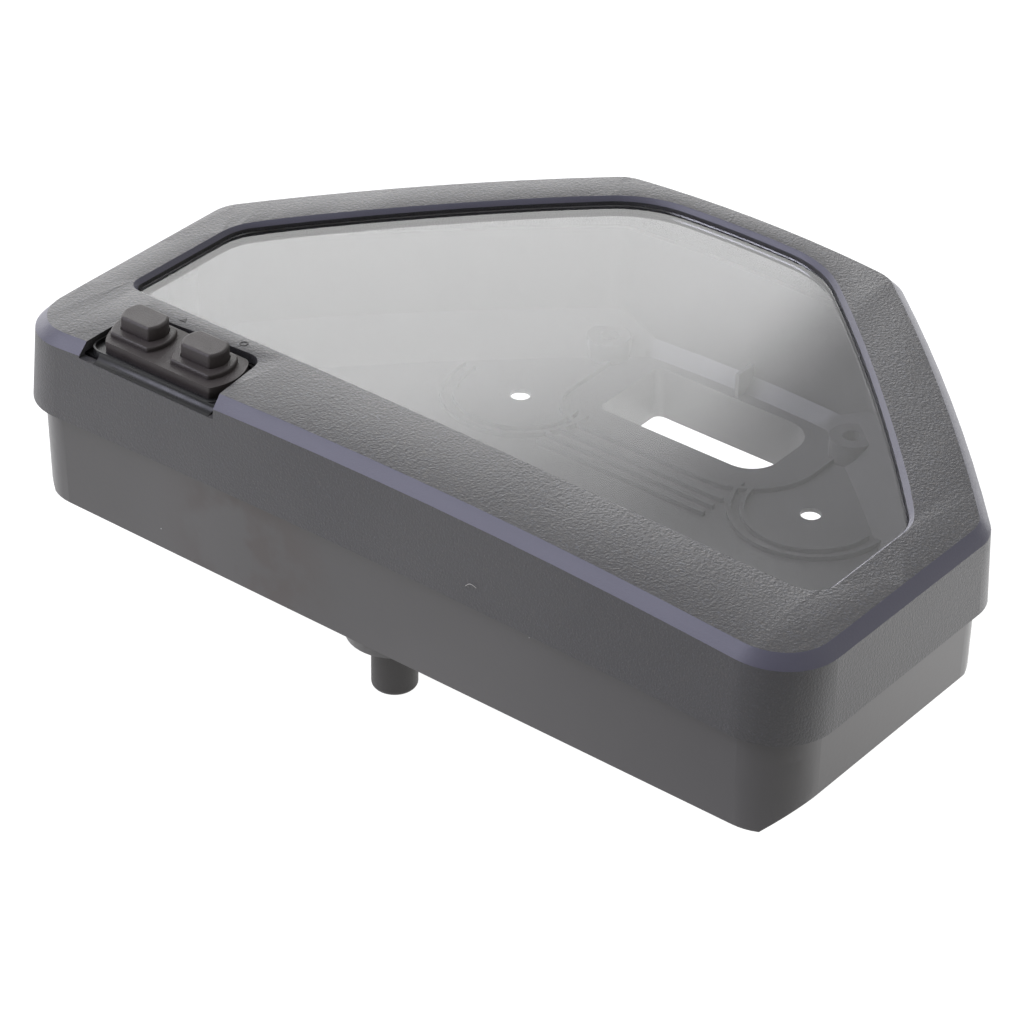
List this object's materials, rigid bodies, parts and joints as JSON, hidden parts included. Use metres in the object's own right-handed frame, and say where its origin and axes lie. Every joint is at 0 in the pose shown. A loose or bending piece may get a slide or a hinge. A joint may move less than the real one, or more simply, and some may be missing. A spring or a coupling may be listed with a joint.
{
  "type": "instrument cluster case",
  "caption": "Empty six-sided instrument cluster case with arched clear lens, grained bezel, rubber keypad and round mounting posts.",
  "frame": {"origin": "centre of the bounding box at the level of the mounting posts' ends", "axes": "+Z out of the face, through the lens; +X along the long front edge, to the rider's right; +Y away from the rider"},
  "size_m": [0.2556, 0.169, 0.0796],
  "materials": {
    "textured_bezel": "grained",
    "clear_lens": "polished",
    "seal_rubber": "matte",
    "case_plastic": "satin",
    "tray_gloss": "gloss",
    "key_rubber": "matte",
    "white_plastic": "satin",
    "board": "satin",
    "switch_plastic": "satin",
    "button_plastic": "satin",
    "screw_steel": "zinc plated",
    "post_rubber": "matte",
    "insert_brass": "machined"
  },
  "bodies": {
    "housing": {"bezel": "textured_bezel", "lens": "clear_lens", "lens_seal": "seal_rubber", "case_seal": "seal_rubber", "rear_case": "case_plastic", "keypad_tray": "tray_gloss", "keypad_boot": "key_rubber", "switch_board": "board", "select_switch": "switch_plastic", "reset_switch": "switch_plastic", "board_socket": "white_plastic", "board_screws": "screw_steel", "case_screws": "screw_steel", "front_post": "post_rubber", "left_post": "post_rubber", "right_post": "post_rubber", "front_post_insert": "insert_brass", "left_post_insert": "insert_brass", "right_post_insert": "insert_brass"},
    "select": {"select_key": "key_rubber", "select_plunger": "white_plastic", "select_switch_button": "button_plastic"},
    "reset": {"reset_key": "key_rubber", "reset_plunger": "white_plastic", "reset_switch_button": "button_plastic"}
  },
  "joints": [
    {"name": "select_press", "type": "slide", "parent": "housing", "child": "select", "axis": [0, 0, -1], "range_m": [0, 0.0012], "stiffness_N_per_m": 1000, "springref_m": -0.0005},
    {"name": "reset_press", "type": "slide", "parent": "housing", "child": "reset", "axis": [0, 0, -1], "range_m": [0, 0.0012], "stiffness_N_per_m": 1000, "springref_m": -0.0005}
  ]
}
